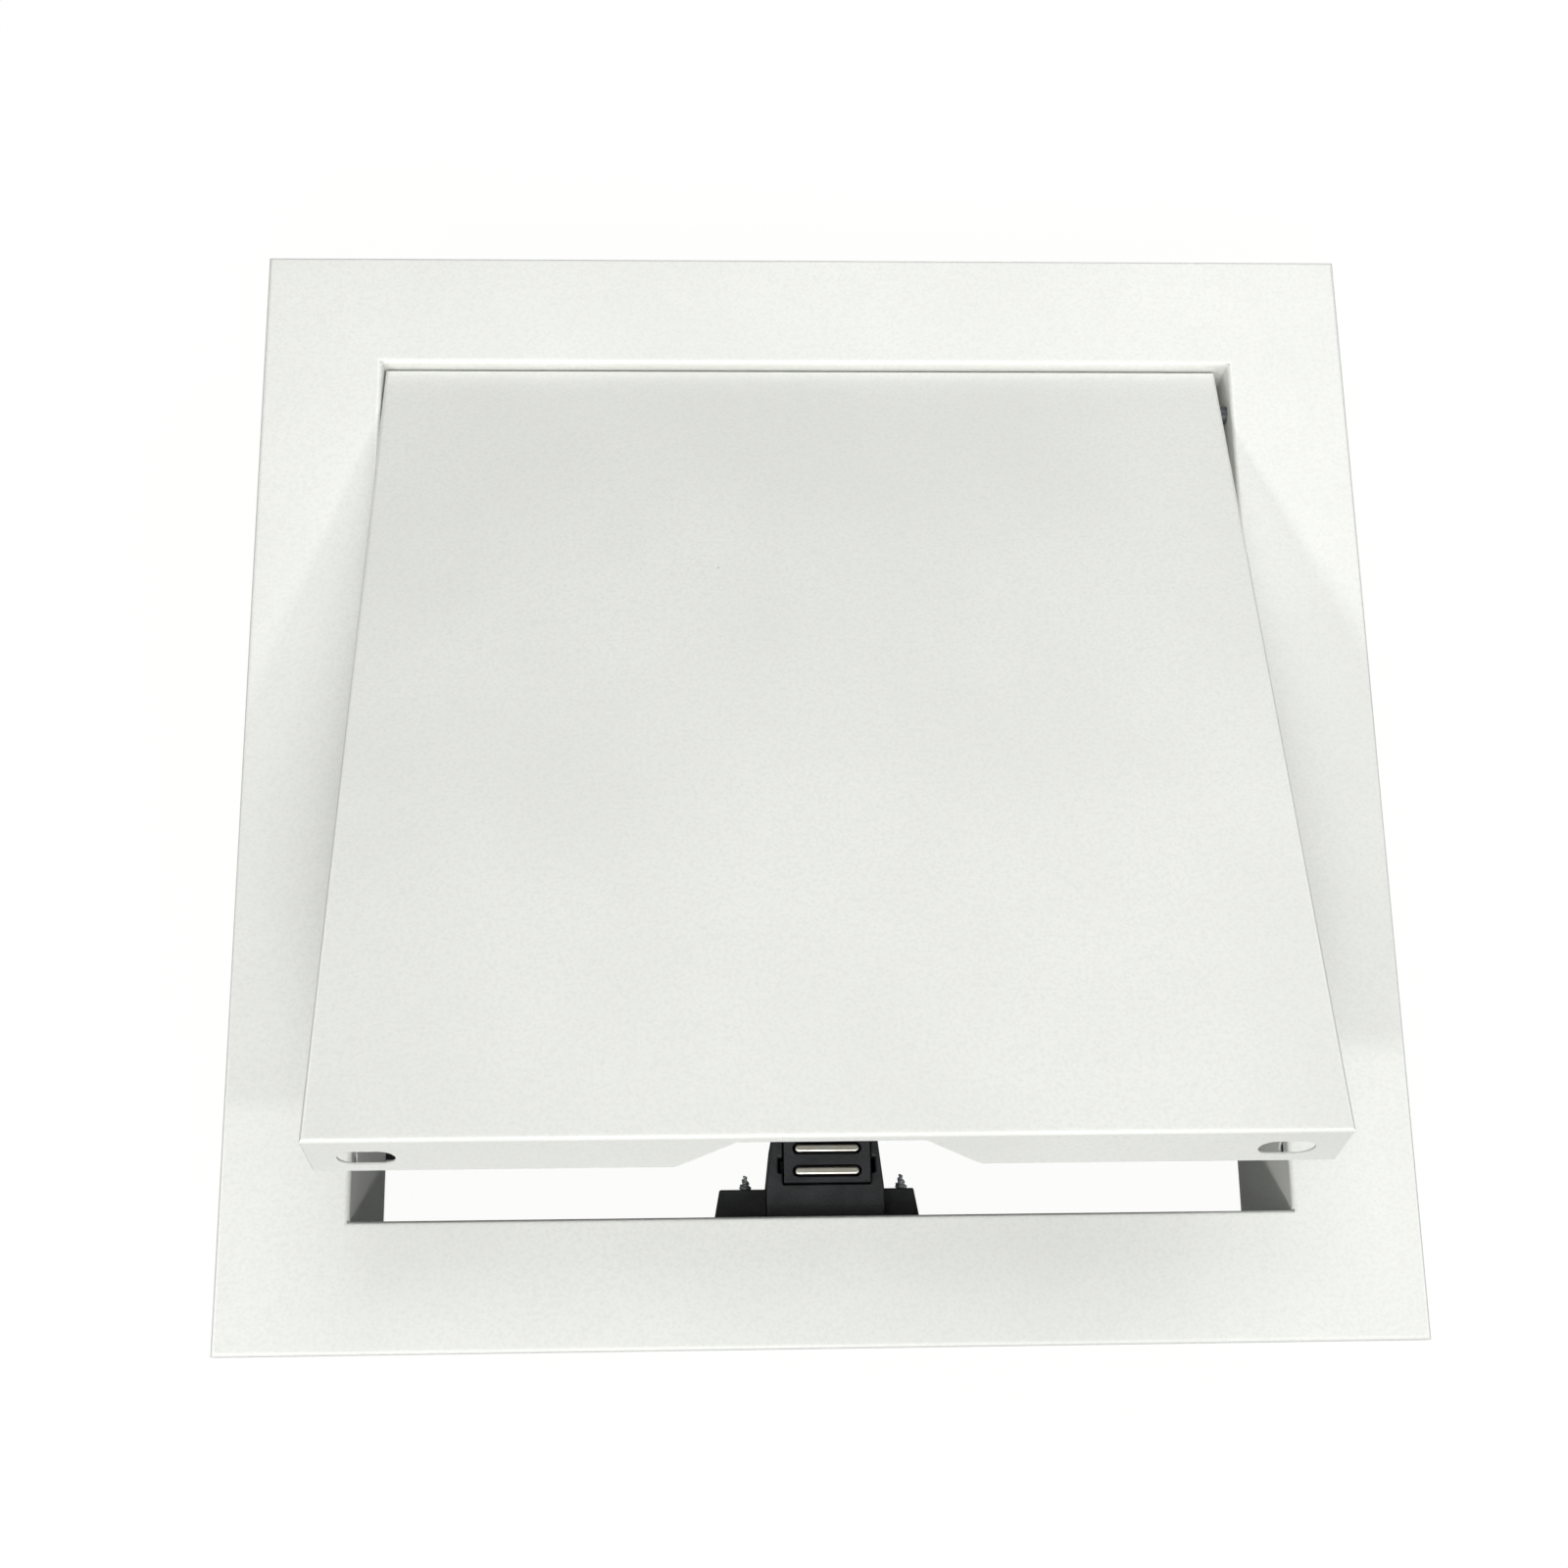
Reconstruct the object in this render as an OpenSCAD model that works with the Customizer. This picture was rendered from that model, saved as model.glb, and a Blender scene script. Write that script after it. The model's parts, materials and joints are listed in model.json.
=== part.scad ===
// Square ceiling access panel: a folded sheet frame, a hinged tray door and a magnetic push latch.
// It lies face up on the rear rim of its frame, with the door ajar.
// Origin: centre of the opening, on the rear rim. +Z: towards the room side of the panel.
// The hinge is on the +Y side and the latch on the -Y side.

/* [Frame] */
// Outside width of the square frame face
frame_w = 255; // [235:1:300]
// Clear width of the square opening between the frame walls
opening_w = 200; // [180:1:215]
// Depth from the frame face to the rear rim
frame_depth = 40; // [39:0.5:80]
// Thickness of the frame and door sheet
sheet_t = 0.5; // [0.4:0.05:0.8]
// Inside radius of every sheet bend
bend_r = 0.6; // [0.4:0.1:1]
// Height of the return lip round the outer edge
lip_h = 5; // [3.5:0.5:9]
// Diameter of the relief hole at each inner corner of the frame
corner_relief_d = 0.9; // [0.6:0.1:1.6]
// Diameter of the fixing holes in the frame walls
fix_d = 4.5; // [3.5:0.1:6]
// Distance between the two fixing holes of a wall
fix_pitch = 120; // [80:1:140]
// Height of the fixing holes above the rear rim
fix_rise = 12; // [8:0.5:16]
// Diameter of the spare hole near the latch end of each side wall
spare_d = 3.2; // [2.5:0.1:4.5]
// Distance from the near wall to the spare holes
spare_inset = 13.7; // [12:0.1:16]
// Distance from the frame face down to the spare holes
spare_drop = 5.3; // [5:0.1:7]

/* [Door] */
// Gap between the closed door and the frame walls
door_gap = 1.5; // [1.3:0.1:2.4]
// Height of the folded door flanges
flange_h = 14.3; // [12:0.1:18]
// Angle at which the door stands ajar
ajar = 16; // [0:0.5:60]
// Width of the open seam between two door flanges at a corner
corner_slit = 0.4; // [0.2:0.1:0.8]
// Width of the cut-out in the near flange, at its top
notch_w = 35.5; // [32:0.5:44]
// Distance from the door face down to the top of the cut-out
notch_drop = 2.6; // [2.6:0.1:3.2]
// Radius of the lower corners of the cut-out
notch_r = 2.5; // [1:0.1:4]
// Length of the slots near the ends of the near flange
slot_len = 11; // [8:0.5:14]
// Width of those slots
slot_w = 6.1; // [4:0.1:6.4]
// Distance from the end of the flange to the middle of a slot
slot_inset = 11.2; // [9.5:0.1:14]
// Distance from the door face down to the middle of a slot
slot_drop = 8.2; // [7:0.1:8.6]

/* [Hinge] */
// Distance from the far edge of the door to the pin axis
hinge_inset = 9; // [8:0.1:14]
// Distance from the frame face down to the pin axis
hinge_drop = 5.4; // [5.3:0.1:6]
// Diameter of the hinge pins
pin_d = 4; // [3.5:0.1:4.5]
// Radial play of a pin in its holes
pin_play = 0.05; // [0.03:0.01:0.08]
// Diameter of the pin heads
pin_head_d = 7.4; // [6.4:0.1:7.6]
// Thickness of the pin heads
pin_head_t = 1.4; // [1:0.1:2]
// Diameter of the washers and the clips
washer_d = 7.8; // [6.8:0.1:8]
// Sideways float of the door on its pins, each way from the middle
door_float = 1.1; // [0.5:0.1:1.2]
// Where the door sits in its float: -1 is left, 0 the middle and 1 right
door_side = -1; // [-1:0.1:1]
// Play left between a door flange and its washer when the door has floated to that side
hinge_play = 0.2; // [0.15:0.05:0.4]
// Thickness of the washers behind the door flanges
washer_t = 0.8; // [0.5:0.1:1.2]
// Thickness of the retaining clips
clip_t = 0.8; // [0.6:0.1:1]
// Depth of the clip groove in a pin
clip_groove = 0.5; // [0.4:0.05:0.6]

/* [Latch housing] */
// Sideways distance from the middle of the near wall to the latch
latch_side = 0.45; // [-2:0.05:2]
// Width of the latch body at its ears
body_w = 25.3; // [24.9:0.1:27]
// Width of the latch body at its front
body_front_w = 22.8; // [22.6:0.1:24.4]
// Distance from the frame face down to the top of the latch body
body_drop = 4.5; // [4:0.1:5.5]
// Height of the latch body
body_h = 33; // [32.5:0.5:33.5]
// Thickness of the housing walls round the plunger
housing_wall = 1.3; // [1:0.1:1.6]
// Width over the ears, at the frame wall
ears_w = 44.6; // [44:0.1:46]
// Sideways distance from the middle of the latch to the middle of its ears
ear_shift = -1.65; // [-2:0.05:0]
// Thickness of the ears
ear_t = 6.6; // [6:0.1:7]
// Height of the ears
ear_h = 10; // [8:0.5:11]
// Distance from the frame face down to the top of the ears
ear_drop = 9.5; // [9.5:0.5:11]
// Distance between the two latch screws
screw_pitch = 34.3; // [33.9:0.1:34.7]
// Diameter of the latch screws
screw_d = 2.9; // [2.5:0.1:3.2]
// Length that the screw tips stand out of the ears
screw_tip = 3.4; // [2:0.1:3.8]

/* [Plunger] */
// Width of the plunger
plunger_w = 18.5; // [18:0.1:19]
// Thickness of the plunger, away from the frame wall
plunger_d = 9.6; // [9.4:0.1:10]
// Sideways distance from the middle of the latch to the middle of the plunger
plunger_shift = 0.4; // [0:0.05:0.5]
// Distance from the frame wall to the plunger
plunger_offset = 7.4; // [7.2:0.1:7.8]
// Play of the plunger in the housing, all round
plunger_play = 0.25; // [0.2:0.05:0.3]
// Length of the plunger
plunger_h = 29.2; // [29:0.1:29.6]
// Distance that a push on the closed door moves the plunger
press = 3; // [2:0.1:3]
// Distance that the released plunger springs out
pop_out = 8.4; // [7:0.1:8.6]
// Width of the pole plates
pole_w = 13.7; // [13:0.1:14.5]
// Thickness of the pole plates
pole_t = 1.5; // [1.2:0.1:1.8]
// Distance between the middles of the two pole plates
pole_pitch = 4.85; // [4.6:0.05:5]
// Height that the pole plates stand out of the plunger
pole_out = 0.3; // [0.1:0.05:0.5]
// Height of the pole plates
pole_h = 11; // [10:0.1:11.5]
// Margin of a plunger slot round its pole plate
pole_margin = 0.6; // [0.4:0.05:0.7]
// Thickness of the plunger skin over the magnet
skin_t = 2; // [1.5:0.1:2.5]
// Outside diameter of the spring
spring_d = 5.8; // [5.4:0.1:6]
// Wire diameter of the spring
spring_wire = 0.7; // [0.5:0.05:0.8]
// Number of turns of the spring
spring_turns = 10; // [8:1:12]
// Diameter of the cam follower wire
cam_wire = 1.2; // [1:0.05:1.3]
// Thickness of the strike plate on the door
strike_t = 1.6; // [1.2:0.1:1.8]
// Gap between the pole plates and the strike plate of the closed door
strike_gap = 0.4; // [0.3:0.05:0.5]

/* [Hidden] */
$fn = 48;
eps = 0.01;
cut = 1;
powder_white = "#ECEDE8";
latch_black = "#232427";
zinc = "#C9CBCC";
black_oxide = "#3B3C40";
nylon = "#E9E6DC";
ferrite = "#3A3A3C";

// Sheet sizes shared by the frame and the door
fold_r = bend_r + sheet_t;
face_w = (frame_w - opening_w) / 2;
wall_y = opening_w / 2;
face_z = frame_depth;
door_w = opening_w - 2 * door_gap;

// Hinge axis, in the frame
hinge_y = door_w / 2 - hinge_inset;
hinge_z = face_z - hinge_drop;
pin_hole_d = pin_d + 2 * pin_play;
door_shift = door_side * door_float;
washer_x = door_w / 2 - sheet_t - door_float - hinge_play;
clip_x = washer_x - washer_t;
clip_slack = 0.1;
pin_end = 0.8;

// Latch, measured from the inner face of the near wall and down from the frame face
body_depth = plunger_offset + plunger_d + plunger_play + housing_wall;
ear_taper = 0.18;
screw_z = -ear_drop - ear_h / 2;
screw_play = 0.05;
screw_hole_d = screw_d + 2 * screw_play;
housing_floor = 1.5;
floor_z = -body_drop - body_h + housing_floor;
pole_top = -sheet_t - strike_t - strike_gap;
plunger_top = pole_top - pole_out;
plunger_y = plunger_offset + plunger_d / 2;
rib_w = 1;
rib_d = 2.9;
rib_shift = 0.9;
rib_y = plunger_y - rib_shift;
rib_drop = 7;
magnet_t = pole_pitch - pole_t;
stack_t = pole_pitch + pole_t;
stack_play = 0.1;
pole_play = 0.2;
pocket_w = pole_w + 2 * pole_play;
stack_bottom = pole_top - pole_h;
retainer_h = 4;
spigot_h = 2.5;
spring_play = 0.3;
spring_slack = 0.1;
coil_lead = 1.05 * spring_wire;
bore_overlap = 0.5;
spring_top = stack_bottom - retainer_h;

// Cam track, measured from its notch
cam_depth = 1;
cam_play = 0.2;
cam_margin = 1;
cam_z = plunger_top - plunger_h + pop_out + cam_wire / 2 + cam_margin;
cam_lane = cam_wire + 2 * cam_play;
cam_x = 2.4;
cam_root_rise = 2;
cam_root_z = floor_z + cam_root_rise;
cam_root_wall = 0.3;
cam_root_depth = plunger_offset - plunger_play - cam_root_wall;
cam_end_gap = 0.3;
cam_tip_gap = 0.15;
cam_bay = 2;
cam_wall_gap = 0.4;
cam_leg_y = cam_wall_gap + cam_wire / 2;

// Quarter of a sheet bend, centred on its axis, in the quadrant of -x and +y
module bend_profile() {
    intersection() {
        difference() {
            circle(r = fold_r);
            circle(r = bend_r);
        }
        translate([-fold_r, 0]) square(fold_r);
    }
}

// Section of a frame rail: x outwards from the opening, y upwards from the rear rim
module rail_profile() {
    square([sheet_t, face_z - fold_r + eps]);
    translate([fold_r, face_z - fold_r]) bend_profile();
    translate([fold_r - eps, face_z - sheet_t]) square([face_w - 2 * fold_r + 2 * eps, sheet_t]);
    translate([face_w - fold_r, face_z - fold_r]) mirror([1, 0]) bend_profile();
    translate([face_w - sheet_t, face_z - lip_h]) square([sheet_t, lip_h - fold_r + eps]);
}

// Hole through the wall of the rail on the +Y side
module wall_hole(d, x, z) {
    translate([x, wall_y - cut, z]) rotate([-90, 0, 0]) cylinder(d = d, h = sheet_t + 2 * cut);
}

// Mitred rail on the +Y side, with its fixing holes and corner reliefs
module rail() {
    difference() {
        intersection() {
            translate([0, wall_y, 0])
                rotate([90, 0, 90]) linear_extrude(height = frame_w, center = true) rail_profile();
            linear_extrude(height = face_z + cut) polygon([[0, 0], [-frame_w, frame_w], [frame_w, frame_w]]);
        }
        for (side = [-1, 1]) {
            wall_hole(fix_d, side * fix_pitch / 2, fix_rise);
            translate([side * wall_y, wall_y, face_z - fold_r])
                cylinder(d = corner_relief_d, h = fold_r + cut);
        }
    }
}

module frame_rail_far() {
    color(powder_white) rail();
}

module frame_rail_near() {
    color(powder_white) rotate([0, 0, 180]) difference() {
        rail();
        for (side = [-1, 1]) wall_hole(screw_hole_d, side * screw_pitch / 2 - latch_side, face_z + screw_z);
    }
}

// Rail on the left (-1) or right (1), with a pin hole at its far end and a spare hole at its near end
module side_rail(side) {
    color(powder_white) rotate([0, 0, -90 * side]) difference() {
        rail();
        wall_hole(pin_hole_d, -side * hinge_y, hinge_z);
        wall_hole(spare_d, side * (wall_y - spare_inset), face_z - spare_drop);
    }
}

// Puts a piece on the hinge axis, with its z axis pointing outwards along the axis on one side
module on_hinge(side) {
    translate([0, hinge_y, hinge_z]) rotate([0, 90 * side, 0]) children();
}

module hinge_pin(side) {
    color(black_oxide) on_hinge(side) {
        difference() {
            translate([0, 0, clip_x - clip_t - pin_end])
                cylinder(d = pin_d, h = wall_y + sheet_t - clip_x + clip_t + pin_end + eps);
            translate([0, 0, clip_x - clip_t - clip_slack / 2]) difference() {
                cylinder(d = pin_d + cut, h = clip_t + clip_slack);
                translate([0, 0, -cut]) cylinder(d = pin_d - 2 * clip_groove, h = clip_t + 2 * cut);
            }
        }
        translate([0, 0, wall_y + sheet_t]) rotate_extrude() intersection() {
            translate([0, pin_head_t - pin_head_d]) circle(r = pin_head_d);
            square([pin_head_d / 2, pin_head_t]);
        }
    }
}

// Washer between the door flange and the clip
module hinge_washer(side) {
    color(nylon) on_hinge(side) translate([0, 0, washer_x - washer_t]) difference() {
        cylinder(d = washer_d, h = washer_t);
        translate([0, 0, -cut]) cylinder(d = pin_hole_d, h = washer_t + 2 * cut);
    }
}

// Open retaining clip: three lugs grip the groove of the pin
module hinge_clip(side) {
    grip_d = pin_d - 2 * clip_groove + 2 * pin_play;
    color(zinc) on_hinge(side) translate([0, 0, clip_x - clip_t]) difference() {
        cylinder(d = washer_d, h = clip_t);
        translate([0, 0, -cut]) cylinder(d = grip_d, h = clip_t + 2 * cut);
        translate([0, -grip_d / 2 + pin_play, -cut])
            cube([washer_d, grip_d - 2 * pin_play, clip_t + 2 * cut]);
        for (turn = [120, 240]) rotate([0, 0, turn])
            translate([grip_d / 2, 0, -cut]) cylinder(d = grip_d / 2, h = clip_t + 2 * cut);
    }
}

// Puts a piece at the latch: y from the inner face of the near wall, z down from the frame face
module at_latch() {
    translate([latch_side, -wall_y, face_z]) children();
}

// Puts a piece at the latch, sideways in line with the plunger
module at_plunger() {
    at_latch() translate([plunger_shift, 0, 0]) children();
}

// Outline of the latch body, seen from above, with its tapered sides
module body_outline() {
    front_r = 1;
    front_x = body_front_w / 2 - front_r;
    polygon([
        [-body_w / 2, 0], [body_w / 2, 0], [body_w / 2, ear_t],
        [body_front_w / 2, body_depth - front_r], [front_x, body_depth - front_r],
        [front_x, body_depth], [-front_x, body_depth],
        [-front_x, body_depth - front_r], [-body_front_w / 2, body_depth - front_r],
        [-body_w / 2, ear_t]
    ]);
    for (side = [-1, 1]) translate([side * front_x, body_depth - front_r]) circle(r = front_r);
}

module latch_housing() {
    well_w = plunger_w + 2 * plunger_play;
    well_d = plunger_d + 2 * plunger_play;
    color(latch_black) at_latch() difference() {
        union() {
            translate([0, 0, -body_drop - body_h]) linear_extrude(height = body_h) body_outline();
            translate([ear_shift, 0, -ear_drop - ear_h]) linear_extrude(height = ear_h) polygon([
                [-ears_w / 2, 0], [ears_w / 2, 0],
                [ears_w / 2 - ear_taper * ear_t, ear_t], [-ears_w / 2 + ear_taper * ear_t, ear_t]
            ]);
        }
        for (side = [-1, 1]) translate([side * screw_pitch / 2, -cut, screw_z])
            rotate([-90, 0, 0]) cylinder(d = screw_hole_d, h = ear_t + 2 * cut);
        translate([plunger_shift, 0, 0]) {
            translate([-well_w / 2, plunger_offset - plunger_play, floor_z])
                cube([well_w, well_d, body_h]);
            translate([0, rib_y, floor_z + body_h / 2])
                cube([well_w + 2 * rib_w, rib_d + 2 * plunger_play, body_h], center = true);
            translate([-cam_x - cam_lane, -cut, cam_root_z - cam_lane])
                cube([2 * (cam_x + cam_lane), cam_bay + cut, cam_z - cam_root_z + 2 * cam_lane]);
            translate([-cam_x - cam_lane, 0, cam_z - cam_lane / 2])
                cube([2 * (cam_x + cam_lane), plunger_offset, cam_lane]);
            translate([0, 0, cam_root_z]) rotate([-90, 0, 0])
                cylinder(d = cam_wire + 2 * pin_play, h = cam_root_depth);
        }
    }
}

module latch_screws() {
    head_d = 2 * screw_d;
    head_t = 0.7 * screw_d;
    point_h = 0.9 * screw_d;
    point_d = 0.1 * screw_d;
    shank_h = sheet_t + ear_t + screw_tip - point_h;
    color(zinc) at_latch() for (side = [-1, 1])
        translate([side * screw_pitch / 2, -sheet_t, screw_z]) rotate([-90, 0, 0]) {
            rotate_extrude() intersection() {
                translate([0, head_d - head_t]) circle(r = head_d);
                translate([0, -head_t]) square([head_d / 2, head_t]);
            }
            translate([0, 0, -eps]) cylinder(d = screw_d, h = shank_h + 2 * eps);
            translate([0, 0, shank_h]) cylinder(d1 = screw_d, d2 = point_d, h = point_h);
        }
}

// Bent wire: one end turns in the housing, the other runs in the cam track of the plunger
module cam_pin() {
    elbow_r = cam_wire;
    root_len = cam_root_depth - cam_end_gap - cam_leg_y - elbow_r;
    tip_len = plunger_offset + cam_depth - cam_tip_gap - cam_leg_y - elbow_r;
    color(zinc) at_plunger() translate([0, cam_leg_y, 0]) {
        translate([0, 0, cam_root_z + elbow_r])
            cylinder(d = cam_wire, h = cam_z - cam_root_z - 2 * elbow_r);
        translate([0, elbow_r, cam_root_z]) rotate([-90, 0, 0]) cylinder(d = cam_wire, h = root_len);
        translate([0, elbow_r, cam_z]) rotate([-90, 0, 0]) cylinder(d = cam_wire, h = tip_len);
        translate([0, elbow_r, cam_root_z + elbow_r]) rotate([0, 90, 0]) rotate([0, 0, -90])
            rotate_extrude(angle = 90) translate([elbow_r, 0]) circle(d = cam_wire);
        translate([0, elbow_r, cam_z - elbow_r]) rotate([0, 90, 0]) rotate([0, 0, 180])
            rotate_extrude(angle = 90) translate([elbow_r, 0]) circle(d = cam_wire);
    }
}

// Height of the spring wire after a number of turns: closed end turns, open turns between them
function spring_rise(turn, length) =
    turn < 1 ? turn * coil_lead
    : turn > spring_turns - 1 ? length - (spring_turns - turn) * coil_lead
    : coil_lead + (turn - 1) / (spring_turns - 2) * (length - 2 * coil_lead);

module latch_spring() {
    steps = 18;
    sides = 8;
    rings = spring_turns * steps;
    mean_r = (spring_d - spring_wire) / 2;
    length = spring_top - floor_z - spring_wire - 2 * spring_slack;
    points = [for (i = [0:rings], s = [0:sides - 1])
        let (a = 360 * i / steps, b = 360 * s / sides, r = mean_r + spring_wire / 2 * cos(b))
        [r * cos(a), r * sin(a), spring_rise(i / steps, length) + spring_wire / 2 * sin(b)]];
    skin = [for (i = [0:rings - 1], s = [0:sides - 1])
        let (n = (s + 1) % sides)
        [i * sides + s, i * sides + n, (i + 1) * sides + n, (i + 1) * sides + s]];
    ends = [[for (s = [sides - 1:-1:0]) s], [for (s = [0:sides - 1]) rings * sides + s]];
    color(zinc) at_plunger() translate([0, plunger_y, floor_z + spring_wire / 2 + spring_slack])
        polyhedron(points, concat(skin, ends));
}

// Heart-shaped loop round an island: the wire rests in the notch on top of the island,
// leaves it when the plunger is pressed, and runs to the lower end when the plunger springs out
module cam_track() {
    half = cam_lane / 2;
    ease = 0.4 * half;
    top = press + cam_play + half;
    low = -pop_out - half;
    knee = cam_x - pop_out;
    shoulder = press - cam_x + 2 * cam_play;
    difference() {
        polygon([
            [-half, low], [half, low], [cam_x + half, knee - ease], [cam_x + half, shoulder + ease],
            [ease, top], [-ease, top], [-cam_x - half, shoulder + ease], [-cam_x - half, knee - ease]
        ]);
        polygon([
            [0, low + 3 * half], [cam_x - half, knee + half], [cam_x - half, shoulder - half],
            [half, shoulder - ease], [half, -ease], [half / 2, -half],
            [-half / 2, -half], [-half, -ease], [-half, shoulder - ease],
            [half - cam_x, shoulder - half], [half - cam_x, knee + half]
        ]);
    }
}

// Plate outline with round ends, seen from above
module pole_outline(margin) {
    half = (pole_w - pole_t) / 2;
    square([2 * half, pole_t + 2 * margin], center = true);
    for (side = [-1, 1]) translate([side * half, 0]) circle(d = pole_t + 2 * margin);
}

module latch_plunger() {
    bottom = plunger_top - plunger_h;
    color(latch_black) at_plunger() difference() {
        union() {
            translate([-plunger_w / 2, plunger_offset, bottom]) cube([plunger_w, plunger_d, plunger_h]);
            translate([-plunger_w / 2 - rib_w + plunger_play, rib_y - rib_d / 2, bottom])
                cube([plunger_w + 2 * (rib_w - plunger_play), rib_d, plunger_h - rib_drop]);
        }
        for (side = [-1, 1]) translate([0, plunger_y + side * pole_pitch / 2, plunger_top - skin_t - cut])
            linear_extrude(height = skin_t + 2 * cut) pole_outline(pole_margin);
        translate([-pocket_w / 2, plunger_y - stack_t / 2 - stack_play, spring_top])
            cube([pocket_w, stack_t + 2 * stack_play, plunger_top - skin_t - spring_top]);
        translate([0, plunger_y, bottom - cut])
            cylinder(d = spring_d + 2 * spring_play, h = spring_top - bottom + cut + bore_overlap);
        translate([0, plunger_offset - cut, cam_z]) rotate([90, 0, 0]) mirror([0, 0, 1])
            linear_extrude(height = cam_depth + cut) cam_track();
    }
}

module latch_magnet() {
    magnet_h = plunger_top - skin_t - stack_bottom;
    color(ferrite) at_plunger() translate([-pole_w / 2, plunger_y - magnet_t / 2, stack_bottom])
        cube([pole_w, magnet_t, magnet_h]);
}

module pole_plate(side) {
    color(zinc) at_plunger() translate([0, plunger_y + side * pole_pitch / 2, stack_bottom])
        linear_extrude(height = pole_h) pole_outline(0);
}

module magnet_retainer() {
    color(latch_black) at_plunger() translate([0, plunger_y, stack_bottom - retainer_h]) {
        translate([-pocket_w / 2 + stack_play, -stack_t / 2, 0])
            cube([pocket_w - 2 * stack_play, stack_t, retainer_h]);
        translate([0, 0, -spigot_h])
            cylinder(d = spring_d - 2 * spring_wire - 2 * spring_play, h = spigot_h + eps);
    }
}

// Door section with two round top corners, hanging down from its top line
module tray_profile(w, h, r) {
    translate([-w / 2, -h]) square([w, h - r]);
    translate([-w / 2 + r, -h]) square([w - 2 * r, h]);
    for (side = [-1, 1]) translate([side * (w / 2 - r), -r]) circle(r = r);
}

// Square block with all four top edges rounded
module tray_block(w, h, r) {
    intersection() {
        rotate([90, 0, 0]) linear_extrude(height = w, center = true) tray_profile(w, h, r);
        rotate([90, 0, 90]) linear_extrude(height = w, center = true) tray_profile(w, h, r);
    }
}

// Rounding of the corner where the sloped side of the cut-out meets the flange edge
module notch_corner() {
    reach = notch_r * tan(22.5);
    difference() {
        polygon([[0, 0], [reach, 0], [reach, notch_r], [-reach * sin(45), reach * cos(45)]]);
        translate([reach, notch_r]) circle(r = notch_r);
    }
}

// Cut-out of the near flange, drawn below the door face
module notch_outline() {
    low_x = notch_w / 2 + flange_h - notch_drop;
    polygon([
        [-notch_w / 2, -notch_drop], [notch_w / 2, -notch_drop],
        [low_x + cut, -flange_h - cut], [-low_x - cut, -flange_h - cut]
    ]);
    translate([low_x, -flange_h]) notch_corner();
    translate([-low_x, -flange_h]) mirror([1, 0]) notch_corner();
}

// Turns a piece of the closed door about the hinge axis to its ajar place, and floats it sideways
module door_pose() {
    translate([door_shift, hinge_y, hinge_z]) rotate([-ajar, 0, 0])
        translate([0, -hinge_y, hinge_drop]) children();
}

module door_panel() {
    slot_x = door_w / 2 - slot_inset;
    slot_half = (slot_len - slot_w) / 2;
    color(powder_white) door_pose() difference() {
        tray_block(door_w, flange_h, fold_r);
        translate([0, 0, -sheet_t]) tray_block(door_w - 2 * sheet_t, flange_h, bend_r);
        translate([0, -door_w / 2 + sheet_t + cut, 0]) rotate([90, 0, 0])
            linear_extrude(height = sheet_t + 2 * cut) {
                notch_outline();
                for (side = [-1, 1]) translate([side * slot_x, -slot_drop]) {
                    square([2 * slot_half, slot_w], center = true);
                    for (end = [-1, 1]) translate([end * slot_half, 0]) circle(d = slot_w);
                }
            }
        translate([0, hinge_y, -hinge_drop]) rotate([0, 90, 0])
            cylinder(d = pin_hole_d, h = door_w + 2 * cut, center = true);
        for (turn = [45, 135, 225, 315]) rotate([0, 0, turn])
            translate([door_w / 2 * sqrt(2) - 2 * fold_r, -corner_slit / 2, -flange_h - cut])
                cube([3 * fold_r, corner_slit, flange_h + cut - fold_r]);
    }
}

// Plate on the inside of the door, over the plunger when the door is closed
module strike_plate() {
    strike_w = body_w;
    strike_margin = 2;
    strike_d = plunger_d + 2 * strike_margin;
    strike_r = 2;
    strike_x = latch_side + plunger_shift - door_shift;
    color(zinc) door_pose() translate([strike_x, -wall_y + plunger_y, -sheet_t - strike_t])
        linear_extrude(height = strike_t) {
            square([strike_w - 2 * strike_r, strike_d], center = true);
            square([strike_w, strike_d - 2 * strike_r], center = true);
            for (x = [-1, 1], y = [-1, 1])
                translate([x * (strike_w / 2 - strike_r), y * (strike_d / 2 - strike_r)])
                    circle(r = strike_r);
        }
}

frame_rail_near();
frame_rail_far();
side_rail(-1);  // frame_rail_left
side_rail(1);  // frame_rail_right
hinge_pin(-1);  // hinge_pin_left
hinge_pin(1);  // hinge_pin_right
hinge_washer(-1);  // hinge_washer_left
hinge_washer(1);  // hinge_washer_right
hinge_clip(-1);  // hinge_clip_left
hinge_clip(1);  // hinge_clip_right
latch_housing();
latch_screws();
cam_pin();
latch_spring();
latch_plunger();
latch_magnet();
pole_plate(-1);  // pole_plate_near
pole_plate(1);  // pole_plate_far
magnet_retainer();
door_panel();
strike_plate();
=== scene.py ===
import json
import math

import bmesh
import bpy
from mathutils import Matrix, Quaternion, Vector


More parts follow.
